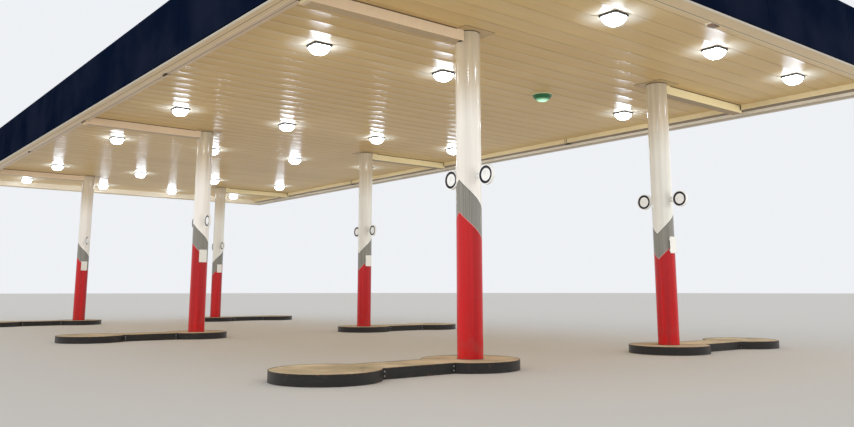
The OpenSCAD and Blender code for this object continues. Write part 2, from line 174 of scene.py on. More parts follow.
class Val:
    """A shader value, colour or shader socket that takes part in Python sums.

    Comparisons give 1 where they hold and otherwise 0; angle() takes the sine
    side from this value and the cosine side from the other.
    """

    def __init__(self, nodes: "Nodes", socket: bpy.types.NodeSocket) -> None:
        """Keeps the tree, which makes the nodes, and the socket."""
        self.nodes = nodes
        self.socket = socket

    __add__ = __radd__ = operator("ADD")
    __sub__, __rsub__ = operator("SUBTRACT"), operator("SUBTRACT", flipped=True)
    __mul__ = __rmul__ = operator("MULTIPLY")
    __truediv__, __rtruediv__ = operator("DIVIDE"), operator("DIVIDE", flipped=True)
    __pow__, __rpow__ = operator("POWER"), operator("POWER", flipped=True)
    __gt__, __lt__ = operator("GREATER_THAN"), operator("LESS_THAN")
    __abs__, __round__, __floor__ = operator("ABSOLUTE"), operator("ROUND"), operator("FLOOR")
    angle, most, least = operator("ARCTAN2"), operator("MAXIMUM"), operator("MINIMUM")

    def ramp(self, low: float, high: float) -> "Val":
        """Rises smoothly from 0 at low to 1 at high."""
        return self.nodes.value("ShaderNodeMapRange", {"interpolation_type": "SMOOTHSTEP"},
                                {"Value": self, "From Min": low, "From Max": high})


def squares(one: Val, other: Val) -> Val:
    """Sum of two squares."""
    return one * one + other * other


class Nodes:
    """A node tree that starts empty and makes its nodes."""

    def __init__(self, tree: bpy.types.NodeTree) -> None:
        """Keeps the tree and empties it."""
        self.tree = tree
        tree.nodes.clear()

    def put(self, socket: bpy.types.NodeSocket, given: Any) -> None:
        """Sets or links a socket.

        Args:
            socket: The node's input.
            given: A number, a colour or vector, or a value to link.
        """
        if isinstance(given, Val):
            self.tree.links.new(given.socket, socket)
        elif isinstance(given, tuple) and len(given) == 3 and socket.type == "RGBA":
            socket.default_value = (*given, 1.0)
        else:
            socket.default_value = given

    def node(self, kind: str, settings: dict[str, Any] | None = None,
             inputs: dict[Any, Any] | None = None) -> bpy.types.Node:
        """Makes any node.

        Args:
            kind: The node's type.
            settings: Its properties, set first.
            inputs: Values or links by the socket's name or number.

        Returns:
            The node.
        """
        made = self.tree.nodes.new(kind)
        for name, setting in (settings or {}).items():
            setattr(made, name, setting)
        for name, given in (inputs or {}).items():
            self.put(made.inputs[name], given)
        return made

    def value(self, kind: str, settings: dict[str, Any], inputs: dict[Any, Any],
              output: Any = 0) -> Val:
        """Makes a node and returns one of its outputs."""
        return Val(self, self.node(kind, settings, inputs).outputs[output])


class Graph(Nodes):
    """One material: its patterns, and what feeds its main shader."""

    def __init__(self, name: str) -> None:
        """Starts a material with a main shader and an output.

        Args:
            name: The material's name.
        """
        self.material = bpy.data.materials.new(name)
        self.material.use_nodes = True
        super().__init__(self.material.node_tree)
        self.shader = self.node("ShaderNodeBsdfPrincipled")
        self.node("ShaderNodeOutputMaterial", {}, {"Surface": Val(self, self.shader.outputs[0])})
        self.coords = self.value("ShaderNodeTexCoord", {}, {}, "Object")
        split = self.node("ShaderNodeSeparateXYZ", {}, {0: self.coords})
        self.x, self.y, self.z = (Val(self, out) for out in split.outputs)

    def mix(self, factor: Any, first: Any, second: Any) -> Val:
        """Blends two colours; factor 0 gives the first."""
        return self.value("ShaderNodeMix", {"data_type": "RGBA"},
                          {0: factor, 6: first, 7: second}, 2)

    def stretched(self, stretch: Point) -> Val:
        """Coordinates for a pattern, with a factor for each axis; a small one draws it out."""
        return self.value("ShaderNodeMapping", {}, {"Vector": self.coords, "Scale": stretch})

    def noise(self, scale: float, detail: float = 2.0, stretch: Point = (1, 1, 1)) -> Val:
        """Soft noise around 0.5.

        Args:
            scale: Blotches a metre.
            detail: Octaves of finer noise.
            stretch: Factors on the three axes.

        Returns:
            A value of about 0.2 to 0.8.
        """
        return self.value("ShaderNodeTexNoise", {},
                          {"Vector": self.stretched(stretch), "Scale": scale, "Detail": detail})

    def cells(self, scale: float, feature: str = "F1", output: str = "Distance") -> Val:
        """Cell pattern of that many cells a metre."""
        return self.value("ShaderNodeTexVoronoi", {"feature": feature},
                          {"Vector": self.stretched((1, 1, 1)), "Scale": scale}, output)

    def facing(self, way: float = 1.0) -> Val:
        """1 on faces that look up, or down where way is -1, otherwise 0."""
        normal = self.value("ShaderNodeNewGeometry", {}, {}, "Normal")
        return (self.value("ShaderNodeSeparateXYZ", {}, {0: normal}, 2) * way).ramp(0.4, 0.7)

    def off_lamp(self) -> Val:
        """Square of the distance from the round lamp's axis."""
        return squares(self.x - SIZE.lamp[0], self.y - SIZE.lamp[1])

    def off_bay(self) -> Val:
        """Distance along the roof from the middle of the nearest column."""
        return abs(self.x - round(self.x / SIZE.bay) * SIZE.bay)

    def bump(self, height: Val) -> Val:
        """Surface relief of a height given in metres."""
        return self.value("ShaderNodeBump", {}, {"Height": height, "Distance": 1.0,
                                                 "Strength": 1.0})

    def finish(self, **inputs: Any) -> bpy.types.Material:
        """Feeds the main shader.

        Args:
            inputs: Values by the socket's name, with underscores for its spaces.

        Returns:
            The material.
        """
        for name, given in inputs.items():
            self.put(self.shader.inputs[name.replace("_", " ")], given)
        return self.material


@dataclass(frozen=True)
class Paint:
    """A sprayed or coil-coated paint on sheet metal, with dust, runs and fine peel."""

    name: str
    colour: Colour
    rough: float = 0.45
    coat: float = 0.0
    dirt: Colour = (0.12, 0.10, 0.075)
    dirty: float = 0.25
    peel: float = 0.00006
    specular: float = 0.5
    top_dust: float = 0.5
    dust: Colour = srgb(128, 120, 108)
    lip: bool = False
    lip_tone: Colour = srgb(238, 232, 218)
    # Painted highlight: the lighter tone of the soffit's inner leg.
    lit_leg_highlight_tone: Colour = srgb(255, 247, 228)
    # Dark lines at joints, deepened as painted shadow of their gaps.
    seams: tuple[tuple[str, float, float], ...] = ()
    seam_and_shadow_line_tone: Colour = srgb(92, 76, 58)
    # Painted shade: a darker tone for faces that look down, beyond under_from in Y.
    under: Colour | None = None
    under_from: float = 0.0

    def make(self) -> bpy.types.Material:
        """Builds the material.

        Returns:
            The material.
        """
        graph = Graph(self.name)
        blotch = graph.noise(0.9, 4.0)
        runs = graph.noise(9.0, 3.0, (1, 1, 0.07))
        fine = graph.noise(60.0, 3.0)
        soiled = (blotch * 0.7 + runs * 0.2 + fine * 0.2).ramp(0.5, 0.8) * self.dirty
        dusty = graph.facing() * graph.noise(2.5, 5.0).ramp(0.3, 0.7) * self.top_dust
        lighter = tuple(min(1.0, part * 1.1 + 0.004) for part in self.colour)
        tone = self.marked(graph, graph.mix(blotch.ramp(0.35, 0.65), self.colour, lighter), blotch)
        colour = graph.mix(dusty, graph.mix(soiled, tone, self.dirt), self.dust)
        relief = (graph.noise(350.0, 1.0) + graph.noise(3.0, 1.0) * 6.0) * self.peel
        return graph.finish(
            Base_Color=colour, Roughness=self.rough + soiled * 0.5 + dusty * 0.4,
            Coat_Weight=self.coat, Coat_Roughness=0.12, Specular_IOR_Level=self.specular,
            Normal=graph.bump(relief))

    def marked(self, graph: Graph, tone: Val, blotch: Val) -> Val:
        """Adds, where there are any, the pale lip, the leg's painted highlight, painted seam shadow
        and painted shade below.

        Args:
            graph: The material.
            tone: The paint's colour.
            blotch: Its soft blotches, which break up the seams.

        Returns:
            The colour with its marks.
        """
        if self.lip:
            edge = (abs(graph.x) > SIZE.half_x - SIZE.lip_w - 0.0005).most(
                abs(graph.y) > SIZE.half_y - SIZE.lip_w - 0.0005)
            # Painted highlight: the soffit's inner leg takes a lighter tone.
            leg = (abs(graph.y) < SIZE.gutter_y + 0.008) * (abs(graph.x) < SIZE.deck_x + 0.006)
            tone = graph.mix(leg, graph.mix(edge, tone, self.lip_tone), self.lit_leg_highlight_tone)
        # Dark lines at the joints: part joint, part painted shadow of their gaps.
        for axis, place, width in self.seams:
            off = abs(abs(getattr(graph, axis)) - place)
            shade = (1.0 - off.ramp(width * 0.35, width * 0.65)) * (0.55 + blotch * 0.6)
            tone = graph.mix(shade, tone, self.seam_and_shadow_line_tone)
        # Painted shade: faces that look down, beyond under_from in Y, take the darker under tone.
        if self.under:
            tone = graph.mix(graph.facing(-1.0) * (graph.y > self.under_from), tone, self.under)
        return tone


@dataclass(frozen=True)
class DeckPaint:
    """Glossy coil coating on roll-formed pans whose long edges curl down to the seams."""

    name: str = "deck_paint"
    low: Colour = srgb(220, 189, 132)
    high: Colour = srgb(231, 202, 147)
    end_pan: Colour = srgb(240, 216, 172)
    # Painted light: the paler colour of a pool round each square light.
    painted_pool_tone: Colour = srgb(246, 240, 228)
    # Grime colour, also used for a band of painted shade beside each seam.
    grime_and_seam_shade_tone: Colour = srgb(120, 100, 74)
    dust: Colour = srgb(168, 160, 144)
    pond: Colour = srgb(126, 118, 102)
    rough: float = 0.29
    curl: float = 0.011
    wave: float = 0.0011
    lamp_reach: float = 1.0

    def make(self) -> bpy.types.Material:
        """Builds the material.

        Returns:
            The material.
        """
        graph = Graph(self.name)
        place = (graph.x + SIZE.deck_x) / SIZE.pan
        number = math.floor(place)
        across = abs(place - number - 0.5)
        pick = graph.value("ShaderNodeTexWhiteNoise", {"noise_dimensions": "1D"},
                           {"W": number + 0.5})
        streaks = graph.noise(5.0, 4.0, (2.5, 0.12, 1))
        tone = (pick * 0.2 + graph.noise(0.5, 3.0) * 0.45 + streaks * 0.4).ramp(0.3, 0.8)
        dirty = graph.noise(1.5, 4.0, (1, 0.5, 1)).ramp(0.3, 0.7)
        # Darker band beside each seam: grime, and painted shade of the seam's gap.
        edge_grime_and_shade = across.ramp(0.43, 0.5) * dirty * 0.3
        specks = graph.noise(25.0, 5.0).ramp(0.62, 0.75) * 0.12
        plain = graph.mix(tone, self.low, self.high)
        plain = graph.mix(abs(graph.x) > SIZE.deck_x - SIZE.pan, plain, self.end_pan)
        # Painted light: a pale pool round each square light.
        plain = graph.mix(self.painted_light_pool(graph) * 0.7, plain, self.painted_pool_tone)
        under = graph.mix(edge_grime_and_shade + specks, plain, self.grime_and_seam_shade_tone)
        above = graph.mix(graph.noise(0.35, 5.0).ramp(0.3, 0.75), self.dust, self.pond)
        top = graph.facing()
        dents = graph.noise(1.3, 1.0, (1.6, 0.5, 1)) + pick * 0.3
        relief = ((across * 2.0) ** 2.2 * self.curl + dents * self.wave
                  + graph.noise(300.0, 1.0) * 0.00002)
        return graph.finish(
            Base_Color=graph.mix(top, under, above), Roughness=self.rough + top * 0.5,
            Specular_IOR_Level=0.12, Normal=graph.bump(relief))

    def painted_light_pool(self, graph: Graph) -> Val:
        """Painted pool of light: the deck's paler base colour round the square lights.

        Args:
            graph: The material.

        Returns:
            1 at each light, falling to 0 away from it, and 0 round the green lamp.
        """
        first, *others = sorted({abs(x) for x, _ in SIZE.lights()})
        off_x = abs(abs(graph.x) - first)
        for place in others:
            off_x = off_x.least(abs(abs(graph.x) - place))
        inner, outer = SIZE.light_rows
        off_y = abs(abs(graph.y) - (inner + outer) / 2) - (outer - inner) / 2
        away = graph.off_lamp() > self.lamp_reach ** 2
        return away * (1.0 - squares(off_x, off_y).ramp(0.0, 0.45))


@dataclass(frozen=True)
class ColumnWrap:
    """Glossy film round the columns in three slanting bands, cut to a line by angle.

    Each boundary is highest on the side away from the roof's middle and falls
    evenly to its lowest on the inner side.
    """

    name: str = "column_wrap"
    # Painted shade: the film's white turns darker and warmer near the deck, and the back row's
    # white is a shaded copy.
    white: Colour = srgb(208, 194, 168)
    low_white: Colour = srgb(254, 252, 248)
    shaded_back_row_white: Colour = srgb(240, 241, 235)
    shadow: Colour = srgb(170, 160, 148)
    grey: Colour = srgb(138, 137, 130)
    red: Colour = srgb(202, 18, 22)
    dark_line: Colour = srgb(58, 52, 50)
    pale_line: Colour = srgb(216, 150, 146)
    pipe: Colour = srgb(120, 124, 128)
    soil: Colour = srgb(96, 84, 74)
    grey_high: float = 2.86
    grey_low: float = 2.24
    red_high: float = 2.35
    red_low: float = 1.755
    line: float = 0.012

    def make(self) -> bpy.types.Material:
        """Builds the material.

        Returns:
            The material.
        """
        graph = Graph(self.name)
        inward = graph.off_bay().angle(abs(graph.y) - SIZE.row) / math.pi
        upper = graph.z - (self.grey_high + inward * (self.grey_low - self.grey_high))
        lower = graph.z - (self.red_high + inward * (self.red_low - self.red_high))
        brush = graph.noise(14.0, 4.0, (8, 8, 0.05))
        # Painted streaks of light and shade up the film, on the red and the white.
        painted_streaks = graph.noise(7.0, 2.0, (1.6, 1.6, 0.03)).ramp(0.36, 0.66)
        grey = graph.mix(brush.ramp(0.3, 0.7), tuple(part * 0.78 for part in self.grey),
                         tuple(part * 1.2 for part in self.grey))
        red = graph.mix(painted_streaks, tuple(part * 0.72 for part in self.red), self.red)
        # Painted shade: the white darkens towards the deck, and the back row gets a shaded copy.
        high = graph.z.ramp(3.7, 4.8) * 0.9 + graph.noise(3.0, 3.0, (1.5, 1.5, 0.05)) * 0.2
        low_white = graph.mix(graph.y > 0.0, self.low_white, self.shaded_back_row_white)
        white = graph.mix(painted_streaks * (0.15 + high * 0.3), graph.mix(high, low_white, self.white),
                          self.shadow)
        lined = graph.mix(upper > 0.0, graph.mix(lower > 0.0, red, grey), white)
        half = 0.5 * self.line
        lined = graph.mix(abs(upper + half) < half, lined, self.dark_line)
        lined = graph.mix(abs(lower - half) < half, lined, self.pale_line)
        lined = graph.mix(graph.z > SIZE.deck_z + 0.01, lined, self.pipe)
        scuffs = graph.noise(7.0, 6.0, (1, 1, 2.5)).ramp(0.6, 0.72)
        low_dirt = (0.9 - graph.z).ramp(0.0, 0.75) * graph.noise(6.0, 5.0).ramp(0.35, 0.75)
        soiled = low_dirt * 0.22 + scuffs * (graph.z < 1.3) * 0.1
        relief = (graph.noise(90.0, 1.0, (0.05, 0.05, 1)) * 0.0008
                  + graph.noise(2.2, 1.0, (1, 1, 0.35)) * 0.0012)
        return graph.finish(
            Base_Color=graph.mix(soiled, lined, self.soil),
            Roughness=0.04 + soiled * 0.6 + brush * 0.04, Specular_IOR_Level=0.4,
            Coat_Weight=(upper > 0.0) * (graph.z < SIZE.deck_z) * 0.55, Coat_Roughness=0.05,
            Normal=graph.bump(relief))


@dataclass(frozen=True)
class DiscEnamel:
    """White enamel with a dark ring round each disc's bare face."""

    name: str = "disc_enamel"
    fresh: Colour = srgb(252, 254, 255)
    aged: Colour = srgb(242, 243, 238)
    worn: Colour = srgb(228, 231, 230)
    ring: Colour = srgb(16, 18, 38)
    face_r: float = 0.099
    ring_r: float = 0.139

    def make(self) -> bpy.types.Material:
        """Builds the material.

        Returns:
            The material.
        """
        graph = Graph(self.name)
        radius = squares(graph.off_bay() - SIZE.disc_x, graph.z - SIZE.disc_z) ** 0.5
        ring = (radius > self.face_r) * (radius < self.ring_r)
        age = graph.noise(5.0, 4.0).ramp(0.4, 0.75)
        white = graph.mix(age, self.fresh, self.aged)
        wear = (radius < self.face_r) * graph.noise(12.0, 2.0).ramp(0.45, 0.7) * 0.5
        return graph.finish(
            Base_Color=graph.mix(ring, graph.mix(wear, white, self.worn), self.ring),
            Roughness=0.2 + age * 0.15 + ring * 0.3, Coat_Weight=0.4 - ring * 0.4,
            Coat_Roughness=0.06, Normal=graph.bump(graph.noise(180.0, 1.0) * 0.00004))


@dataclass(frozen=True)
class Concrete:
    """Broom-finished concrete with stains, pores and a few hairline cracks."""

    name: str = "island_concrete"
    pale: Colour = srgb(226, 206, 170)
    dark: Colour = srgb(180, 160, 126)
    stain: Colour = srgb(86, 78, 66)
    gap: Colour = srgb(60, 54, 46)

    def make(self) -> bpy.types.Material:
        """Builds the material.

        Returns:
            The material.
        """
        graph = Graph(self.name)
        cloud = graph.noise(1.4, 6.0)
        grit = graph.noise(90.0, 4.0)
        broom = graph.noise(60.0, 2.0, (0.06, 1, 1))
        spots = graph.noise(2.3, 3.0).ramp(0.62, 0.7) * graph.noise(9.0, 3.0).ramp(0.35, 0.6)
        crack = 1.0 - graph.cells(0.9, "DISTANCE_TO_EDGE").ramp(0.0, 0.004)
        crack = crack * graph.noise(1.1, 2.0).ramp(0.5, 0.6)
        tone = graph.mix((cloud * 0.7 + grit * 0.3).ramp(0.35, 0.65), self.dark, self.pale)
        stained = graph.mix(spots * 0.55, tone, self.stain)
        relief = broom * 0.0012 + grit * 0.0006 - crack * 0.002
        return graph.finish(Base_Color=graph.mix(crack * 0.7, stained, self.gap),
                            Roughness=0.88 - spots * 0.3, Specular_IOR_Level=0.3,
                            Normal=graph.bump(relief))


@dataclass(frozen=True)
class KerbSteel:
    """Dark painted steel form, chipped and rusty where tyres and water reach it."""

    name: str = "kerb_steel"
    paint: Colour = srgb(22, 20, 18)
    scuffed: Colour = srgb(58, 54, 48)
    rust: Colour = srgb(84, 56, 40)
    fresh_rust: Colour = srgb(112, 78, 54)

    def make(self) -> bpy.types.Material:
        """Builds the material.

        Returns:
            The material.
        """
        graph = Graph(self.name)
        chips = graph.noise(22.0, 6.0)
        edge = graph.z.ramp(0.125, 0.149) + (1.0 - graph.z.ramp(0.0, 0.03)) * 0.7
        bare = (chips + edge * 0.14).ramp(0.66, 0.74)
        scuff = graph.noise(30.0, 3.0, (0.2, 0.2, 3)).ramp(0.55, 0.7) * 0.4
        paint = graph.mix(scuff, self.paint, self.scuffed)
        rust = graph.mix(graph.noise(70.0, 3.0), self.rust, self.fresh_rust)
        relief = bare * -0.0004 + graph.noise(120.0, 3.0) * 0.0003
        return graph.finish(Base_Color=graph.mix(bare, paint, rust),
                            Roughness=0.42 + bare * 0.4, Metallic=0.0,
                            Normal=graph.bump(relief))


@dataclass(frozen=True)
class Galvanised:
    """Hot-dip zinc with its crystal pattern, or plated fasteners on a finer scale."""

    name: str = "galvanised_tube"
    scale: float = 45.0
    tone: Colour = srgb(172, 176, 178)
    crystal: Colour = srgb(128, 134, 140)
    bloom: Colour = srgb(190, 190, 186)

    def make(self) -> bpy.types.Material:
        """Builds the material.

        Returns:
            The material.
        """
        graph = Graph(self.name)
        shade = graph.value("ShaderNodeSeparateColor", {},
                            {0: graph.cells(self.scale, output="Color")})
        dull = graph.noise(2.0, 4.0).ramp(0.4, 0.7)
        colour = graph.mix(dull * 0.35, graph.mix(shade * 0.5, self.tone, self.crystal), self.bloom)
        return graph.finish(Base_Color=colour, Roughness=0.34 + shade * 0.12 + dull * 0.2,
                            Metallic=0.85 - dull * 0.3,
                            Normal=graph.bump(graph.noise(160.0, 2.0) * 0.00008))


@dataclass(frozen=True)
class LitLens:
    """Pressed glass with the glow of a lamp behind its prisms."""

    name: str = "light_lens"
    glass: Colour = srgb(240, 242, 238)
    glow: Colour = srgb(230, 242, 255)
    low_glow: Colour = srgb(224, 238, 255)
    strength: float = 20.0

    def make(self) -> bpy.types.Material:
        """Builds the material.

        Returns:
            The material.
        """
        graph = Graph(self.name)
        fall = (SIZE.deck_z - graph.z).ramp(0.02, 0.13)
        prism = graph.noise(90.0, 2.0)
        return graph.finish(Base_Color=self.glass, Roughness=0.12 + prism * 0.1,
                            Emission_Color=graph.mix(fall, self.glow, self.low_glow),
                            Emission_Strength=self.strength, Normal=graph.bump(prism * 0.0004))


@dataclass(frozen=True)
class GreenLens:
    """Moulded green dome: a pale rim, dark sides and a bright mint centre."""

    name: str = "green_lens"
    side: Colour = srgb(8, 92, 46)
    centre: Colour = srgb(206, 250, 220)
    rim: Colour = srgb(226, 226, 190)
    side_glow: Colour = srgb(3, 34, 18)
    centre_glow: Colour = srgb(176, 255, 208)
    strength: float = 0.9

    def make(self) -> bpy.types.Material:
        """Builds the material.

        Returns:
            The material.
        """
        graph = Graph(self.name)
        centre = 1.0 - (graph.off_lamp() ** 0.5).ramp(0.05, 0.17)
        body = graph.mix(centre, self.side, self.centre)
        ripple = graph.noise(60.0, 2.0)
        return graph.finish(
            Base_Color=graph.mix(graph.z > SIZE.deck_z - 0.0135, body, self.rim),
            Roughness=0.2 + ripple * 0.1, Coat_Weight=0.3, Emission_Strength=self.strength,
            Emission_Color=graph.mix(centre, self.side_glow, self.centre_glow),
            Normal=graph.bump(ripple * 0.0003))


FINISHES: dict[str, bpy.types.Material] = {}


def paints() -> list[Any]:
    """Lists every finish of the canopy.

    Returns:
        The finishes, each with a name and a make().
    """
    sheet = {"rough": 0.38, "coat": 0.1, "dirty": 0.12, "specular": 0.35}
    lap = (("y", 5.577, 0.012),)
    return [
        DeckPaint(), ColumnWrap(), DiscEnamel(), Concrete(), KerbSteel(), Galvanised(),
        Galvanised("zinc_fasteners", 300.0, srgb(188, 190, 190)), LitLens(), GreenLens(),
        # Soffit: the inner leg's lighter tone is a painted highlight, its seam lines are deepened
        # as painted shadow, and its under tone is painted shade on the back's undersides.
        Paint("soffit_paint", srgb(228, 205, 164), lip=True, under=srgb(190, 173, 148),
              under_from=5.4, seams=(("y", 5.82, 0.013), ("x", 13.375, 0.014)), **sheet),
        Paint("collar_paint", srgb(203, 174, 124), 0.4, 0.15, dirty=0.15, specular=0.35),
        Paint("plate_white", srgb(232, 232, 226), 0.25, 0.3, dirty=0.12),
        Paint("frame_primer", srgb(116, 120, 124), 0.7, dirty=0.35, specular=0.3),
        # One paint for the gutters and leader boxes: gutter_paint on the back gutter and the back
        # leaders' copy are lighter and yellower as painted light from the lamps' glow.
        Paint("gutter_paint", srgb(234, 219, 178), seams=lap, under=srgb(124, 104, 80), **sheet),
        Paint("lamp_lit_rear_leader_paint", srgb(242, 228, 184), under=srgb(164, 136, 86), **sheet),
        Paint("front_gutter_paint", srgb(226, 204, 175), seams=lap, under=srgb(198, 172, 134),
              under_from=-5.49, **sheet),
        Paint("fascia_panel", srgb(10, 19, 38), 0.5, dirty=0.16, dirt=srgb(40, 44, 60),
              specular=0.0, top_dust=0.4),
        Paint("cap_paint", srgb(16, 24, 46), 0.48, dirty=0.2, dirt=srgb(46, 48, 60), specular=0.0),
        Paint("light_can", srgb(58, 54, 50), 0.4, dirty=0.2, specular=0.4),
        Paint("box_paint", srgb(150, 128, 112), 0.55, dirty=0.35),
        Paint("rubber_seal", srgb(24, 23, 22), 0.8, dirty=0.3),
        Paint("sealant", srgb(104, 84, 60), 0.7, dirty=0.3, dirt=srgb(60, 48, 34)),
    ]


def put_in_scene(name: str, data: Any) -> bpy.types.Object:
    """Makes an object and puts it into the scene.

    Args:
        name: Its name.
        data: Its mesh, lamp or camera.

    Returns:
        The object.
    """
    made = bpy.data.objects.new(name, data)
    bpy.context.scene.collection.objects.link(made)
    return made


class Piece:
    """Gathers the faces of one piece and turns them into an object on the frame."""

    def __init__(self) -> None:
        """Starts empty."""
        self.points: list[Vector] = []
        self.faces: list[tuple[int, ...]] = []
        self.finishes: list[int] = []

    def add(self, points: Iterable[Sequence[float]], faces: Iterable[Sequence[int]],
            place: Matrix | None = None, finish: int = 0) -> None:
        """Adds faces.

        Args:
            points: Their corners.
            faces: Corner numbers of each face, outward side anticlockwise.
            place: Where the corners go.
            finish: Number of the finish that build() is given.
        """
        base = len(self.points)
        spots = [Vector(point) for point in points]
        self.points += [place @ spot for spot in spots] if place else spots
        for face in faces:
            self.faces.append(tuple(base + corner for corner in face))
            self.finishes.append(finish)

    def box(self, one: Point, other: Point, finish: int = 0, place: Matrix | None = None) -> None:
        """Adds a box.

        Args:
            one: One corner.
            other: The opposite corner.
            finish: Number of the finish.
            place: Where the box goes.
        """
        xs, ys, zs = (sorted(pair) for pair in zip(one, other))
        corners = [(x, y, z) for z, y, x in product(zs, ys, xs)]
        sides = [(0, 2, 3, 1), (4, 5, 7, 6), (0, 1, 5, 4), (2, 6, 7, 3), (0, 4, 6, 2), (1, 3, 7, 5)]
        self.add(corners, sides, place, finish)

    def loft(self, rings: Sequence[Sequence[Sequence[float]]], place: Matrix | None = None,
             finish: int = 0, ends: bool = True) -> None:
        """Joins rings of as many points each into a skin.

        Args:
            rings: The rings from bottom to top, each anticlockwise from above.
            place: Where they go.
            finish: Number of the finish.
            ends: Closes the first and last ring.
        """
        count = len(rings[0])
        points = [point for ring in rings for point in ring]
        faces: list[tuple[int, ...]] = []
        for level, step in product(range(len(rings) - 1), range(count)):
            near, far = level * count + step, level * count + (step + 1) % count
            faces.append((near, far, far + count, near + count))
        if ends:
            faces.append(tuple(reversed(range(count))))
            faces.append(tuple(range(len(points) - count, len(points))))
        self.add(points, faces, place, finish)

    def turned(self, profile: Sequence[tuple[float, float]], place: Matrix | None = None,
               finish: int = 0, sides: int = 24, ends: bool = True) -> None:
        """Adds a body turned round Z.

        Args:
            profile: Its radius and height at each level, bottom to top.
            place: Where it goes.
            finish: Number of the finish.
            sides: Its number of sides.
            ends: Closes the bottom and top.
        """
        turns = [2 * math.pi * step / sides for step in range(sides)]
        self.loft([[(radius * math.cos(turn), radius * math.sin(turn), height) for turn in turns]
                   for radius, height in profile], place, finish, ends)

    def bolt(self, spot: Sequence[float], axis: Axis, across: float = 0.03,
             finish: int = 0) -> None:
        """Adds a hexagon bolt head on a washer, seated on a surface.

        Args:
            spot: Its seat.
            axis: Where its head points.
            across: Its width between two opposite flats.
            finish: Number of the finish.
        """
        place = axis.at(spot)
        radius = across / 1.732
        self.turned([(radius * 1.25, 0), (radius * 1.25, 0.003)], place, finish, 14)
        self.turned([(radius, 0.003), (radius, across * 0.5), (radius * 0.86, across * 0.6)],
                    place, finish, 6)

    def rivet(self, spot: Sequence[float], axis: Axis, radius: float = 0.006,
              finish: int = 0) -> None:
        """Adds a low domed rivet or screw head, seated on a surface.

        Args:
            spot: Its seat.
            axis: Where its head points.
            radius: Its radius.
            finish: Number of the finish.
        """
        dome = ((1, 0), (0.92, 0.3), (0.5, 0.55), (0.08, 0.62))
        self.turned([(radius * out, radius * rise) for out, rise in dome], axis.at(spot), finish, 8)

    def build(self, name: str, slot: str, finishes: Sequence[str], smooth: float = 35.0,
              replaces: Sequence[str] = ()) -> None:
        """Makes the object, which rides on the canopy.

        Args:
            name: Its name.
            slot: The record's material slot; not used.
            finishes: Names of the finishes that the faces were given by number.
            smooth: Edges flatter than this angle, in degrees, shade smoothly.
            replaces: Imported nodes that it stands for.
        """
        mesh = bpy.data.meshes.new(name)
        mesh.from_pydata([tuple(point) for point in self.points], [], self.faces)
        mesh.polygons.foreach_set("material_index", self.finishes)
        for finish in finishes:
            mesh.materials.append(FINISHES[finish])
        mesh.shade_smooth()
        mesh.set_sharp_from_angle(angle=math.radians(smooth))
        mesh.update()
        made = put_in_scene(name, mesh)
        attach(made, "root")
        if replaces:
            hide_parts(*replaces)
        log.info("%s: %d faces", name, len(mesh.polygons))


def dress(finish: str, *nodes: str, bevel: float = 0.0) -> None:
    """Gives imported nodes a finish.

    Args:
        finish: Name of the finish.
        nodes: Names of the nodes.
        bevel: Radius of their softened edges, 0 for none.
    """
    for name in nodes:
        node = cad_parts[name]
        node.data.materials.clear()
        node.data.materials.append(FINISHES[finish])
        if bevel:
            soft = node.modifiers.new("soft_edges", "BEVEL")
            soft.width = bevel
            soft.segments = 2
            soft.limit_method = "ANGLE"
            soft.angle_limit = math.radians(50)
            soft.harden_normals = False
        log.info("%s wears %s", name, finish)


def rounded_square(half: float, corner: float, height: float, steps: int = 5) -> list[Point]:
    """Runs round a level square with round corners, anticlockwise from above.

    Args:
        half: Half its side.
        corner: Its corners' radius.
        height: Its height.
        steps: Edges in each corner.

    Returns:
        The points.
    """
    ring: list[Point] = []
    inner = half - corner
    for quarter, (sx, sy) in enumerate(((1, 1), (-1, 1), (-1, -1), (1, -1))):
        for step in range(steps + 1):
            turn = math.pi / 2 * (quarter + step / steps)
            ring.append((sx * inner + corner * math.cos(turn),
                         sy * inner + corner * math.sin(turn), height))
    return ring


def quarter_turn(quarter: int) -> Matrix:
    """Turn round Z by that many right angles."""
    return Matrix.Rotation(math.pi / 2 * quarter, 4, "Z")


def both_rows() -> list[tuple[float, float, int]]:
    """Every column's place and its row: -1 in front, 1 behind."""
    return [(x, row * SIZE.row, row) for row in BOTH for x in SIZE.column_x]


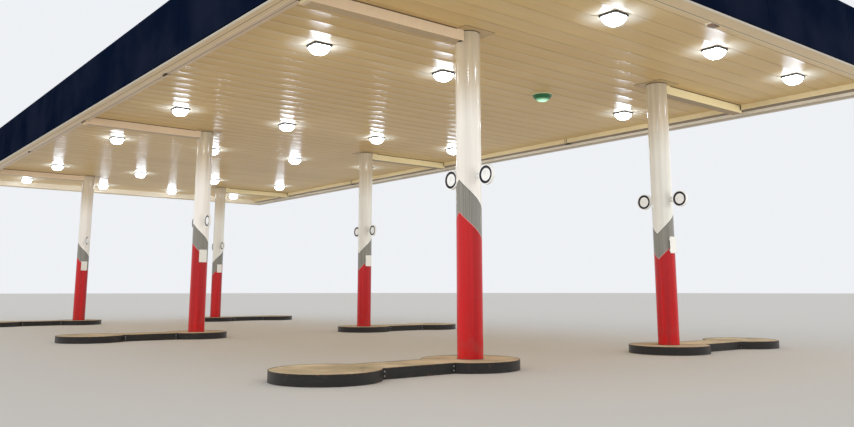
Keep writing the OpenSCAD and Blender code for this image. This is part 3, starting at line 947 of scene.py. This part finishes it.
@dataclass
class Islands:
    """Concrete plinths with their steel forms."""

    waist: float = 0.38
    radius: float = 0.74
    span: float = 2.54
    kerb_t: float = 0.008
    plate_t: float = 0.005
    seal_w: float = 0.008
    lip: float = 0.003

    def build(self) -> None:
        """Dresses the islands and adds the forms' splice plates and the columns' seals."""
        dress("island_concrete", *(f"island_{place}" for place in PLACES), bevel=0.01)
        dress("kerb_steel", "island_kerbs_front", "island_kerbs_back")
        self.lugs()
        self.seals()

    def lugs(self) -> None:
        """Adds splice plates beside the form's joints, each held by two bolts."""
        piece = Piece()
        reach = math.sqrt(self.radius ** 2 - self.waist ** 2)
        for (x, y, row), inner, (side, axis) in product(both_rows(), (True, False), SIDES):
            joint = y + row * (reach if inner else self.span - reach)
            away = row if inner else -row
            edge = x + side * (self.waist + self.kerb_t)
            face = edge + side * self.plate_t
            piece.box((edge, joint + away * 0.002, 0.02), (face, joint + away * 0.062, 0.13))
            for z in (0.045, 0.105):
                piece.bolt((face, joint + away * 0.032, z), axis, 0.016, 1)
        piece.build("kerb_lugs", "kerb_steel", ["kerb_steel", "zinc_fasteners"])

    def seals(self) -> None:
        """Adds rubber rings round the columns, under the deck and in the concrete's gap."""
        piece = Piece()
        inner, outer = SIZE.column_r + HAIR, SIZE.column_r + self.seal_w
        lip = inner + self.lip
        high, top = SIZE.deck_z - 0.0041, SIZE.island_top
        rings = (((inner, high - 0.011), (lip, high - 0.01), (lip, high), (inner, high)),
                 ((inner, top - 0.012), (outer, top - 0.012), (outer, top + 0.001),
                  (lip, top + 0.005), (inner, top + 0.006)))
        for (x, y, _), profile in product(both_rows(), rings):
            piece.turned(profile, Matrix.Translation((x, y, 0)), sides=64, ends=False)
        piece.build("column_seals", "kerb_steel", ["rubber_seal"])


@dataclass
class Columns:
    """Round columns in their film, with discs, plates and top trims."""

    arm_half: float = 0.012
    arm_bolt: float = 0.026
    plate_t: float = 0.006
    cap_x: float = 0.068
    cap_y: float = 0.13
    plate_y: float = 0.085
    plate_z: tuple[float, float] = (1.89, 2.175)
    collar_t: float = 0.004
    screw_in: float = 0.29
    bead_stop: float = 0.13

    def build(self) -> None:
        """Dresses the columns and adds the small hardware on them."""
        dress("column_wrap", *(f"column_{place}" for place in PLACES))
        dress("collar_paint", "column_collars")
        dress("disc_enamel", "number_discs_front", "number_discs_back", bevel=0.0015)
        dress("plate_white", "notice_plates", bevel=0.0015)
        self.hardware()
        self.cap_bolts()
        self.plate_screws()
        self.collar_screws()

    def hardware(self) -> None:
        """Adds the bolts through the arms of the discs."""
        piece = Piece()
        for (x, y, _), side, rise, (face, axis) in product(both_rows(), BOTH, (-0.03, 0.03), FACES):
            piece.bolt((x + side * (SIZE.column_r + self.arm_bolt), y + face * self.arm_half,
                        SIZE.disc_z + rise), axis, 0.013)
        piece.build("disc_bolts", "disc_enamel", ["zinc_fasteners"])

    def cap_bolts(self) -> None:
        """Adds the bolts between the main beams' lower flanges and the columns' cap plates."""
        piece = Piece()
        for (x, y, _), sx, sy in product(both_rows(), BOTH, BOTH):
            piece.bolt((x + sx * self.cap_x, y + sy * self.cap_y, SIZE.steel_z + 0.016), Axis.UP,
                       0.036)
        piece.build("cap_bolts", "frame_primer", ["zinc_fasteners"])

    def plate_screws(self) -> None:
        """Adds the screws of the notice plates; the front right column has no plate."""
        piece = Piece()
        for (x, y, row), side, z in product(both_rows(), BOTH, self.plate_z):
            if x < SIZE.bay or row > 0:
                piece.rivet((x + SIZE.column_r + self.plate_t, y + side * self.plate_y, z),
                            Axis.RIGHT, 0.006)
        piece.build("plate_screws", "plate_white", ["zinc_fasteners"])

    def collar_screws(self) -> None:
        """Adds screws and sealant along the edges of the trims at the columns' tops."""
        piece = Piece()
        low, half = SIZE.deck_z - self.collar_t, SIZE.collar / 2
        for x, y, row in both_rows():
            for side, along in product(BOTH, (-0.28, -0.1, 0.1, 0.28)):
                piece.rivet((x + side * self.screw_in, y + along, low), Axis.DOWN, 0.005)
            for along in (-0.2, 0.0, 0.2):
                piece.rivet((x + along, y - row * self.screw_in, low), Axis.DOWN, 0.005)
            for quarter in range(4):
                place = Matrix.Translation((x, y, 0)) @ quarter_turn(quarter)
                under_box = quarter == row + 1
                runs = (((-half, -self.bead_stop), (self.bead_stop, half)) if under_box
                        else ((-half, half),))
                for start, stop in runs:
                    piece.box((start, -half - 0.008, low + 0.0005),
                              (stop, -half - HAIR, low + 0.0038), 1, place)
        piece.build("collar_screws", "soffit_paint", ["collar_paint", "sealant"])


@dataclass
class SteelFrame:
    """Main beams, purlins and the tube frame behind the fascias."""

    fin_lap: float = 0.09
    cope: float = 0.012
    clip_half: float = 0.014

    def build(self) -> None:
        """Dresses the steel and adds its bolts and clips."""
        dress("frame_primer", "main_beam_left", "main_beam_middle", "main_beam_right",
              "purlins_front", "purlins_middle", "purlins_back")
        dress("galvanised_tube", "fascia_rails", "fascia_brackets")
        self.fin_bolts()
        self.hangers()

    def fin_bolts(self) -> None:
        """Adds three bolts through each fin plate and purlin web, with heads and nuts."""
        piece = Piece()
        reach = SIZE.beam_b / 2 + self.cope + self.fin_lap / 2
        for beam, y, side, rise in product(SIZE.column_x, SIZE.purlin_y, BOTH, (0.08, 0.15, 0.22)):
            for off, axis in ((-0.004, Axis.FRONT), (0.014, Axis.BACK)):
                piece.bolt((beam + side * reach, y + off, SIZE.steel_z + rise), axis, 0.03)
        piece.build("fin_bolts", "frame_primer", ["zinc_fasteners"])

    def hangers(self) -> None:
        """Adds the clips that hold the deck's ribs up to the purlins' lower flanges."""
        piece = Piece()
        half, z = SIZE.purlin_b / 2, SIZE.steel_z
        for seam, y in product(range(1, SIZE.pans), SIZE.purlin_y):
            x = -SIZE.deck_x + seam * SIZE.pan
            left, right = x - self.clip_half, x + self.clip_half
            side = 1 if seam % 2 else -1
            outer, top = y + side * (half + 0.012), z + 0.0135
            piece.box((left, y + side * (half - 0.03), z + 0.0101), (right, outer, top))
            piece.box((left, outer, z - 0.012), (right, outer - side * 0.0035, top))
            piece.bolt((x, y + side * (half - 0.014), top), Axis.UP, 0.013, 1)
        piece.build("deck_hangers", "galvanised_tube", ["galvanised_tube", "zinc_fasteners"])


@dataclass
class Roof:
    """Deck, gutters, leader boxes and the trims round the edge."""

    trim: float = 0.004
    leader_h: float = 0.18
    leader_half: float = 0.11
    rivet_gap: float = 0.3
    rivet_x: float = 13.39
    rivet_y: float = 5.76
    outlet_y: float = 5.6
    ribs: int = 10

    def build(self) -> None:
        """Dresses the sheet metal and adds its rivets, seals and strainers."""
        dress("deck_paint", "deck_left", "deck_middle", "deck_right")
        # The back gutter and back leader boxes wear lamp-lit copies of the front gutters' paint, as
        # painted light.
        dress("gutter_paint", "gutter_back")
        dress("lamp_lit_rear_leader_paint", "leader_boxes_back")
        dress("front_gutter_paint", "gutter_front", "leader_boxes_front")
        dress("soffit_paint", "soffit_trim")
        self.trim_rivets()
        self.leader_details()
        self.splice_seals()
        self.strainers()

    def trim_rivets(self) -> None:
        """Adds rivets along the soffit, the gutters' inner faces and the splice straps."""
        piece = Piece()
        lip = SIZE.lip_z
        for row, inner in ((-1, Axis.BACK), (1, Axis.FRONT)):
            for step in range(-45, 46):
                piece.rivet((step * self.rivet_gap, row * self.rivet_y, lip), Axis.DOWN, 0.005)
            for end, dx in product(BOTH, (-0.012, 0.012)):
                x = end * SIZE.splice_x + dx
                for dy in (0.03, 0.115, 0.2):
                    piece.rivet((x, row * (SIZE.gutter_y - dy), SIZE.gutter_z - self.trim),
                                Axis.DOWN, 0.004)
                piece.rivet((x, row * (SIZE.deck_y - self.trim), SIZE.gutter_z + 0.03),
                            inner, 0.004)
        for end, step in product(BOTH, range(-18, 19)):
            piece.rivet((end * self.rivet_x, step * self.rivet_gap, lip), Axis.DOWN, 0.005)
        piece.build("trim_rivets", "soffit_paint", ["soffit_paint"])

    def leader_details(self) -> None:
        """Adds closing angles, rivets, the dark gasket at each leader box's foot and a painted
        shadow by the column.
        """
        piece = Piece()
        deck, gutter, low = SIZE.deck_z, SIZE.gutter_z, SIZE.deck_z - self.leader_h
        start, stop = SIZE.row, SIZE.deck_y
        for x, y, row in both_rows():
            for side, axis in SIDES:
                edge = x + side * self.leader_half
                piece.box((edge, row * (start + 0.32), deck - 0.014),
                          (edge + side * 0.012, row * (stop - 0.002), deck - HAIR), 2)
                foot = edge + side * 0.016
                piece.box((edge, row * (stop - 0.01), gutter),
                          (foot, row * (stop - 0.0001), deck - 0.014), 1)
                piece.box((edge - side * 0.03, row * (stop + 0.055), gutter - 0.018),
                          (foot - side * 0.03, row * (stop + 0.105), gutter - HAIR), 1)
                for step in range(6):
                    piece.rivet((edge, row * (start + 0.4 + step * 0.48), deck - 0.02), axis, 0.004)
            # Painted shadow: a small dark piece in the gap at the leader box's end by the column.
            piece.box((x + 0.03, row * (start + 0.185), low - 0.003),
                      (x + 0.108, row * (start + 0.24), low - HAIR), 1)
            piece.box((x - 0.1, row * (stop + 0.004), gutter - 0.006),
                      (x + 0.1, row * (stop + 0.05), gutter - HAIR), 1)
            piece.box((x - 0.105, row * (stop + 0.0601), low + 0.004),
                      (x + 0.105, row * (stop + 0.064), gutter - 0.002))
        piece.build("leader_details", "gutter_paint", ["gutter_paint", "rubber_seal", "sealant"])

    def splice_seals(self) -> None:
        """Adds dark sealant along the gutters' splice straps, and a clamp bar under each, dark as
        painted shadow.
        """
        piece = Piece()
        low = SIZE.gutter_z - self.trim
        for row, end in product(BOTH, BOTH):
            x = end * SIZE.splice_x
            for side in BOTH:
                edge = x + side * 0.02
                outer = edge + side * 0.014
                piece.box((edge, row * (SIZE.gutter_y - 0.002), low + 0.001),
                          (outer, row * (SIZE.deck_y + 0.002), low + 0.0039))
                piece.box((edge, row * (SIZE.deck_y - 0.005), SIZE.gutter_z),
                          (outer, row * (SIZE.deck_y - 0.0001), SIZE.deck_z - 0.0005))
            # Painted shadow: the dark bar below the strap stands for the shade beneath it.
            spot = row * (SIZE.gutter_y - 0.13)
            piece.box((x - 0.105, spot - 0.014, low - 0.018),
                      (x + 0.07, spot + 0.014, low - 0.0001))
        piece.build("splice_seals", "gutter_paint", ["rubber_seal"])

    def strainers(self) -> None:
        """Adds domed leaf strainers over the gutters' outlets."""
        piece = Piece()
        for x, _, row in both_rows():
            base = Matrix.Translation((x, row * self.outlet_y, SIZE.gutter_z + self.trim))
            piece.turned([(0.062, 0), (0.062, 0.004), (0.05, 0.006)], base, sides=20)
            for step in range(self.ribs):
                turn = math.pi * 2 * step / self.ribs
                around = Vector((math.cos(turn), math.sin(turn), 0))
                across = Vector((-math.sin(turn), math.cos(turn), 0)) * 0.0025
                rings = []
                for level in range(6):
                    lift = math.pi / 2 * level / 5
                    rise = Vector((0, 0, math.sin(lift)))
                    middle = (around * (0.048 * math.cos(lift) + 0.004) + rise * 0.055
                              + Vector((0, 0, 0.005)))
                    outward = (around * math.cos(lift) + rise) * 0.0025
                    rings.append([middle + across, middle + outward, middle - across,
                                  middle - outward])
                piece.loft(rings, base)
            piece.turned([(0.012, 0.056), (0.012, 0.062), (0.004, 0.064)], base, sides=12)
        piece.build("gutter_strainers", "galvanised_tube", ["galvanised_tube"])


@dataclass
class Fascia:
    """Navy panels all round with their cap flashing."""

    panel: float = 2.8
    end_panel: float = 1.0
    leg: float = 0.12
    rivet_gap: float = 0.5

    def build(self) -> None:
        """Dresses the panels and the cap and adds the seals and rivets."""
        dress("fascia_panel", "fascia_front", "fascia_back", "fascia_left", "fascia_right")
        dress("cap_paint", "cap_flashing")
        self.seals()
        self.cap_rivets()

    def joints(self, half: float) -> list[float]:
        """Sets out the panel joints along a side.

        Args:
            half: Half the side's length.

        Returns:
            Their places.
        """
        reach = half - self.end_panel
        count = int((2 * reach + 1e-6) / self.panel) + 1
        return [step * self.panel - reach for step in range(count)]

    def seals(self) -> None:
        """Adds dark sealant in the panels' joints."""
        piece = Piece()
        low, high = SIZE.lip_z + 0.002, SIZE.top_z - SIZE.cap_h - 0.002
        sides = ((SIZE.half_x, SIZE.half_y), (SIZE.half_y, SIZE.half_x))
        for quarter in range(4):
            half, out = sides[quarter % 2]
            for x in self.joints(half):
                piece.box((x - 0.005, -out + 0.006, low), (x + 0.005, -out + 0.0085, high), 0,
                          quarter_turn(quarter))
        piece.build("joint_seals", "fascia_panel", ["rubber_seal"])

    def cap_rivets(self) -> None:
        """Adds rivets along the inner leg of the cap flashing."""
        piece = Piece()
        z, x, y = SIZE.top_z - 0.017, SIZE.half_x - self.leg, SIZE.half_y - self.leg
        for step in range(-26, 27):
            for spot, axis in ((-y, Axis.BACK), (y, Axis.FRONT)):
                piece.rivet((step * self.rivet_gap, spot, z), axis, 0.006)
        for step in range(-11, 12):
            for spot, axis in ((-x, Axis.RIGHT), (x, Axis.LEFT)):
                piece.rivet((spot, step * self.rivet_gap, z), axis, 0.006)
        piece.build("cap_rivets", "cap_paint", ["zinc_fasteners"])


@dataclass
class Lights:
    """Square lights: a can above the deck, a door frame below it and a drop lens."""

    half: float = 0.1725
    opening: float = 0.15
    depth: float = 0.032
    seat: float = 0.024
    can_half: float = 0.145
    can_h: float = 0.165
    lens_half: float = 0.1465
    lens_drop: float = 0.128
    hinge_x: float = 0.09
    screw_x: float = 0.08
    screw_y: float = 0.045

    def build(self) -> None:
        """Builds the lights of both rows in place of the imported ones."""
        for row, name in ((-1, "front"), (1, "back")):
            places = [place for place in SIZE.lights() if place[1] * row > 0]
            self.housings(places).build(
                f"housings_{name}", "light_can", ["light_can", "zinc_fasteners", "rubber_seal"],
                replaces=[f"light_housings_{name}"])
            self.lenses(places).build(f"lenses_{name}", "light_lens", ["light_lens"],
                                      replaces=[f"light_lenses_{name}"])

    def housings(self, places: Sequence[tuple[float, float]]) -> Piece:
        """Cans, doors, hinges and captive screws.

        Args:
            places: Centres of the lights.

        Returns:
            The piece.
        """
        piece = Piece()
        can, top, cover = self.can_half, self.can_h * 1.5, self.can_half * 2 / 3
        body = [(self.opening, 0.03, -self.seat), (self.opening, 0.03, -self.depth),
                (self.half - 0.007, 0.046, -self.depth), (self.half, 0.05, -self.depth + 0.007),
                (self.half, 0.05, -0.0005), (can, 0.012, -0.0005),
                (can, 0.012, self.can_h - 0.004), (can - 0.004, 0.01, self.can_h)]
        ballast = [(cover, 0.006, self.can_h), (cover, 0.006, self.can_h * 1.47),
                   (cover - 0.003, 0.004, top)]
        gasket = [(self.opening - HAIR, 0.03, -0.0318), (self.lens_half, 0.03, -0.033),
                  (self.lens_half, 0.03, -0.0245)]
        for x, y in places:
            at = Matrix.Translation((x, y, SIZE.deck_z))
            piece.loft([rounded_square(*part) for part in body], at)
            piece.loft([rounded_square(*part) for part in ballast],
                       at @ Matrix.Diagonal((1.0, 0.75, 1.0, 1.0)))
            piece.loft([rounded_square(*part) for part in gasket], at, 2, ends=False)
            for side in BOTH:
                piece.rivet((x + side * self.hinge_x, y - self.half + 0.011,
                             SIZE.deck_z - self.depth), Axis.DOWN, 0.005, 1)
                barrel = (side * self.hinge_x, self.half - 0.004, -self.depth + 0.003)
                piece.turned([(0.0045, -0.02), (0.0045, 0.02)], at @ Matrix.Translation(barrel)
                             @ Matrix.Rotation(math.pi / 2, 4, "Y"), 0, 10)
                for end in BOTH:
                    piece.rivet((x + side * self.screw_x, y + end * self.screw_y,
                                 SIZE.deck_z + top), Axis.UP, 0.006, 1)
        return piece

    def lenses(self, places: Sequence[tuple[float, float]]) -> Piece:
        """Drop lenses with stepped prisms round their sides and underneath.

        Args:
            places: Centres of the lights.

        Returns:
            The piece.
        """
        piece = Piece()
        rings: list[list[Point]] = []
        base, levels, steps = -self.seat - self.lens_drop, 9, 12
        for level in range(levels, 0, -1):
            part = level / levels
            half = self.lens_half * (0.6 + 0.02 * math.cos(part)) * (1 - part)
            rings.append(rounded_square(max(half, 0.004), max(half * 0.25, 0.002),
                                        base + 0.0015 * (level % 2), 4))
        for level in range(steps + 1):
            part = level / steps
            swell = 0.61 + 0.39 * math.sin(math.pi / 2 * part ** 0.75)
            half = self.lens_half * swell - (0.0018 if level % 2 and level < steps else 0.0)
            rings.append(rounded_square(half, 0.03 + 0.03 * (1 - part),
                                        -self.seat - self.lens_drop * (1 - part), 4))
        for x, y in places:
            piece.loft(rings, Matrix.Translation((x, y, SIZE.deck_z)))
        return piece


@dataclass
class RoundLamp:
    """Green domed lamp on a round can, in the place of one square light."""

    flutes: int = 32
    flute_depth: float = 0.0025
    dome_section: tuple[tuple[float, float], ...] = (
        (0.004, -0.150), (0.03, -0.149), (0.056, -0.144), (0.082, -0.136), (0.107, -0.1255),
        (0.133, -0.110), (0.153, -0.093), (0.171, -0.073), (0.184, -0.052), (0.193, -0.031),
        (0.197, -0.014))

    def build(self) -> None:
        """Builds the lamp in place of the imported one."""
        self.dome()

    def dome(self) -> None:
        """Adds the fluted dome with its rim and can."""
        piece = Piece()
        place = Matrix.Translation((*SIZE.lamp, SIZE.deck_z))
        sides = self.flutes * 6
        turns = [2 * math.pi * step / sides for step in range(sides)]
        rings = []
        for radius, height in self.dome_section:
            depth = self.flute_depth * min(1.0, max(0.0, (radius - 0.1) / 0.04))
            reach = [radius + depth * math.cos(self.flutes * turn) for turn in turns]
            rings.append([(out * math.cos(turn), out * math.sin(turn), height)
                          for out, turn in zip(reach, turns)])
        piece.loft(rings, place)
        piece.turned([(0.19, -0.015), (0.202, -0.016), (0.208, -0.013), (0.21, -0.008),
                      (0.21, -0.0005)], place, 0, 72)
        piece.turned([(0.1375, -0.0005), (0.1375, 0.162), (0.1345, 0.165)], place, 1, 48)
        piece.build("green_lamp", "green_lens", ["green_lens", "light_can"],
                    replaces=["round_lamp"], smooth=50)


@dataclass
class JunctionBox:
    """Small wiring box under the deck near the right end."""

    centre: tuple[float, float] = (13.0668, 0.095)
    depth: float = 0.055
    cover_t: float = 0.002
    half: float = 0.075
    screw_x: float = 0.045
    screw_y: float = 0.062
    plug_x: float = 0.02

    def build(self) -> None:
        """Dresses the box and adds its cover, screws and plugs."""
        dress("box_paint", "junction_box", bevel=0.004)
        self.cover()

    def cover(self) -> None:
        """Adds a cover with four screws, a base plate with a dark strip of painted shade, and
        knock-out plugs.
        """
        piece = Piece()
        x, y = self.centre
        deck, low = SIZE.deck_z, SIZE.deck_z - self.depth
        face = low - self.cover_t
        piece.box((x - 0.053, y - 0.07, face), (x + 0.053, y + 0.07, low))
        base = [(0.0576, 0.002, -0.02), (0.088, 0.01, -0.02), (0.092, 0.012, -0.017),
                (0.092, 0.012, -0.0005)]
        piece.loft([rounded_square(*part) for part in base], Matrix.Translation((x, y, deck)), 3,
                   ends=False)
        # Painted shade: a dark strip along the base plate's +X side.
        piece.box((x + 0.0578, y - self.half, deck - 0.0255),
                  (x + 0.0842, y + self.half, deck - 0.0201), 2)
        for sx, sy in product(BOTH, BOTH):
            piece.rivet((x + sx * self.screw_x, y + sy * self.screw_y, face), Axis.DOWN, 0.004, 1)
        for (side, axis), end in product(FACES, BOTH):
            piece.rivet((x + end * self.plug_x, y + side * self.half, low + 0.027), axis, 0.01)
        piece.build("box_cover", "box_paint",
                    ["box_paint", "zinc_fasteners", "light_can", "soffit_paint"])


@dataclass
class Studio:
    """Pale floor, even pale surroundings, soft lamps and the camera."""

    spot: Point = (19.428, -10.711, 1.154)
    yaw: float = math.radians(51.22)
    pitch: float = math.radians(9.466)
    focal: float = 789.13
    middle: float = 159.54
    width: int = 854
    height: int = 427
    film: float = 36.0
    warm: Colour = (1.0, 0.97, 0.93)
    floor_tone: Colour = (0.80, 0.775, 0.73)
    light_tone: Colour = (0.95, 0.97, 1.0)
    light_power: float = 0.75
    seen_tone: Colour = (0.86, 0.88, 0.91)

    def build(self) -> None:
        """Sets up everything that isn't the object."""
        floor = self.floor()
        self.world()
        self.lamps(floor)
        self.camera()

    def floor(self) -> bpy.types.Object:
        """Makes the pale floor.

        Returns:
            The floor.
        """
        mesh = bpy.data.meshes.new("floor")
        far, low = 400.0, -0.001
        mesh.from_pydata([(-far, -far, low), (far, -far, low), (far, far, low), (-far, far, low)],
                         [], [(0, 1, 2, 3)])
        mesh.materials.append(Graph("floor").finish(
            Base_Color=self.floor_tone, Roughness=0.9, Specular_IOR_Level=0.1))
        made = put_in_scene("floor", mesh)
        return made

    def world(self) -> None:
        """Makes the surroundings: one pale tone for sight, a plain one for light."""
        world = bpy.data.worlds.new("studio")
        bpy.context.scene.world = world
        world.use_nodes = True
        nodes = Nodes(world.node_tree)
        rays = nodes.node("ShaderNodeLightPath").outputs
        sight, mirror, through = (Val(nodes, rays[f"Is {kind} Ray"])
                                  for kind in ("Camera", "Glossy", "Transmission"))
        light, seen = (nodes.value("ShaderNodeBackground", {}, {0: tone, 1: power}) for tone, power
                       in ((self.light_tone, self.light_power), (self.seen_tone, 1.0)))
        both = nodes.value("ShaderNodeMixShader", {},
                           {0: sight.most(mirror).most(through), 1: light, 2: seen})
        nodes.node("ShaderNodeOutputWorld", {}, {0: both})

    def lamp(self, name: str, spot: Point, aim: Point, size: tuple[float, float],
             power: float, spared: bpy.types.Collection) -> None:
        """Adds one soft rectangular lamp.

        Args:
            name: Its name.
            spot: Where it stands.
            aim: What it points at.
            size: Width and height.
            power: Watts.
            spared: What it doesn't light.
        """
        data = bpy.data.lights.new(name, "AREA")
        data.shape = "RECTANGLE"
        data.size, data.size_y = size
        data.energy = power
        data.color = self.warm
        made = put_in_scene(name, data)
        made.location = spot
        made.visible_glossy = False
        made.visible_camera = False
        made.light_linking.receiver_collection = spared
        made.rotation_euler = (Vector(aim) - Vector(spot)).to_track_quat("-Z", "Y").to_euler()

    def lamps(self, floor: bpy.types.Object) -> None:
        """Adds two low soft lamps that light the canopy from below its roof, and not the floor.

        Args:
            floor: The floor, which the even surroundings light by themselves.
        """
        spared = bpy.data.collections.new("floor_only")
        spared.objects.link(floor)
        spared.collection_objects[0].light_linking.link_state = "EXCLUDE"
        self.lamp("front_low", (6.0, -24.0, 3.2), (2.0, 0.0, 5.2), (34.0, 6.0), 2640.0, spared)
        self.lamp("right_low", (27.0, 15.0, 3.6), (1.0, 0.0, 4.0), (24.0, 7.0), 2840.0, spared)

    def camera(self) -> None:
        """Places the camera at the photograph's viewing angle."""
        data = bpy.data.cameras.new("view")
        data.sensor_width = self.film
        data.lens = self.focal / self.width * self.film
        data.shift_y = (self.middle - self.height / 2) / self.width
        data.clip_end = 500.0
        made = put_in_scene("view", data)
        made.location = self.spot
        ahead = Vector((-math.sin(self.yaw) * math.cos(self.pitch),
                        math.cos(self.yaw) * math.cos(self.pitch), math.sin(self.pitch)))
        made.rotation_euler = ahead.to_track_quat("-Z", "Y").to_euler()
        bpy.context.scene.camera = made


def main() -> None:
    """Builds the finishes, the sub-assemblies and the studio, in that order."""
    logging.basicConfig(level=logging.INFO, format="%(name)s: %(message)s")
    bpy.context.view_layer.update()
    scene = bpy.context.scene
    scene.view_settings.view_transform = "Standard"
    for paint in paints():
        FINISHES[paint.name] = paint.make()
    for part in (Islands(), Columns(), SteelFrame(), Roof(), Fascia(), Lights(), RoundLamp(),
                 JunctionBox()):
        part.build()
        log.info("%s done", type(part).__name__)
    Studio().build()


if __name__ == "__main__":
    main()
